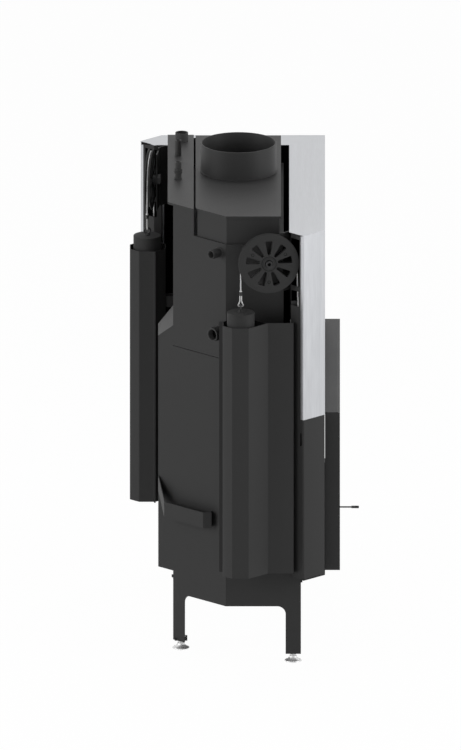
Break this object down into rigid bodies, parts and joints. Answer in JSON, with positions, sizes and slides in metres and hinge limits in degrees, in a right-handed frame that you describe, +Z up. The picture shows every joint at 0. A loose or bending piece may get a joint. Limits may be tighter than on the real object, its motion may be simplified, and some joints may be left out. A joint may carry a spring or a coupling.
{
  "type": "water jacket fireplace insert",
  "caption": "Corner fireplace insert with a water jacket, an L-shaped lifting glass door on counterweights, a brushed door housing and levelling feet.",
  "frame": {"origin": "middle of the whole insert's bounding box, at floor level", "axes": "+X along the long front towards the glass corner, +Y from the front to the back, +Z up"},
  "size_m": [1.062, 0.614, 1.325],
  "materials": {
    "charcoal_paint": "matte charcoal stove paint on folded sheet steel",
    "weight_paint": "matte charcoal paint on a turned steel bar",
    "soot_steel": "matte black heat proof paint",
    "brushed_sheet": "bright brushed sheet with a long grain",
    "zinc_steel": "zinc plated bar",
    "polished_feet": "polished plated foot",
    "wire_rope": "bright stranded wire rope",
    "dark_bolt": "blackened steel",
    "dark_pipe": "painted pipe with dark fittings",
    "boiler_steel": "bare boiler plate, dull grey",
    "grey_iron": "rough sand cast iron",
    "fireclay": "pressed pale fireclay and vermiculite board",
    "ceramic_glass": "clear ceramic glass, faintly smoked",
    "seal_rope": "knitted glass fibre seal",
    "brass_shoe": "plain turned brass"
  },
  "bodies": {
    "insert": {"lower_casing": "charcoal_paint", "levelling_feet": "polished_feet", "sill_plate": "charcoal_paint", "hearth_plate": "boiler_steel", "firebox_shell": "soot_steel", "door_opening_frame": "charcoal_paint", "end_slabs": "fireclay", "back_slab": "fireclay", "floor_slab": "fireclay", "grate": "grey_iron", "ash_pan": "boiler_steel", "smoke_baffle": "fireclay", "water_jacket": "charcoal_paint", "tube_plates": "boiler_steel", "smoke_tubes": "boiler_steel", "hood": "charcoal_paint", "cover_plate": "charcoal_paint", "flue_collar": "charcoal_paint", "return_socket": "charcoal_paint", "vent_socket": "charcoal_paint", "flow_pipe": "charcoal_paint", "cooling_loop": "dark_pipe", "rear_duct": "charcoal_paint", "air_elbow": "charcoal_paint", "surround_front": "charcoal_paint", "surround_side": "charcoal_paint", "near_column": "charcoal_paint", "far_column": "charcoal_paint", "housing_front": "brushed_sheet", "housing_side": "brushed_sheet", "housing_near_end": "brushed_sheet", "housing_far_end": "brushed_sheet", "housing_inner_front": "soot_steel", "housing_inner_side": "soot_steel", "guide_rails": "zinc_steel", "pulley_brackets": "charcoal_paint", "pulley_axles": "dark_bolt", "near_weight_casing": "charcoal_paint", "far_weight_casing": "charcoal_paint", "casing_back_shells": "charcoal_paint", "casing_brackets": "charcoal_paint", "rope_wraps": "wire_rope", "case_bolts": "dark_bolt"},
    "door": {"door_frame": "charcoal_paint", "front_glass": "ceramic_glass", "side_glass": "ceramic_glass", "door_seals": "seal_rope", "grip_strip": "charcoal_paint", "guide_shoes": "brass_shoe", "door_ropes": "wire_rope"},
    "near_counterweight": {"near_weight": "weight_paint", "near_weight_eye": "dark_bolt", "near_weight_rope": "wire_rope"},
    "far_counterweight": {"far_weight": "weight_paint", "far_weight_eye": "dark_bolt", "far_weight_rope": "wire_rope"},
    "near_wheel": {"near_pulley": "charcoal_paint"},
    "far_wheel": {"far_pulley": "charcoal_paint"},
    "air_control": {"air_lever": "dark_bolt", "air_shutter": "boiler_steel"}
  },
  "joints": [
    {"name": "door_lift", "type": "slide", "parent": "insert", "child": "door", "axis": [0, 0, 1], "range_m": [0, 0.43], "deforming": ["door_ropes"]},
    {"name": "near_weight_fall", "type": "slide", "parent": "insert", "child": "near_counterweight", "axis": [0, 0, -1], "range_m": [0, 0.43], "deforming": ["near_weight_rope"]},
    {"name": "far_weight_fall", "type": "slide", "parent": "insert", "child": "far_counterweight", "axis": [0, 0, -1], "range_m": [0, 0.43], "deforming": ["far_weight_rope"]},
    {"name": "near_pulley_turn", "type": "hinge", "parent": "insert", "child": "near_wheel", "pos_m": [-0.476, -0.06525, 1.132], "axis": [-0.9936, -0.1132, 0], "range_deg": [0, 325.94]},
    {"name": "far_pulley_turn", "type": "hinge", "parent": "insert", "child": "far_wheel", "pos_m": [0.34025, 0.252, 1.132], "axis": [-0.1132, -0.9936, 0], "range_deg": [0, 325.94]},
    {"name": "air_slide", "type": "slide", "parent": "insert", "child": "air_control", "axis": [1, 0, 0], "range_m": [-0.01, 0.01]}
  ],
  "couplings": [
    {"joint": "near_weight_fall", "follows": "door_lift", "ratio": 1},
    {"joint": "far_weight_fall", "follows": "door_lift", "ratio": 1},
    {"joint": "near_pulley_turn", "follows": "door_lift", "rad_per_m": 13.228},
    {"joint": "far_pulley_turn", "follows": "door_lift", "rad_per_m": 13.228}
  ]
}
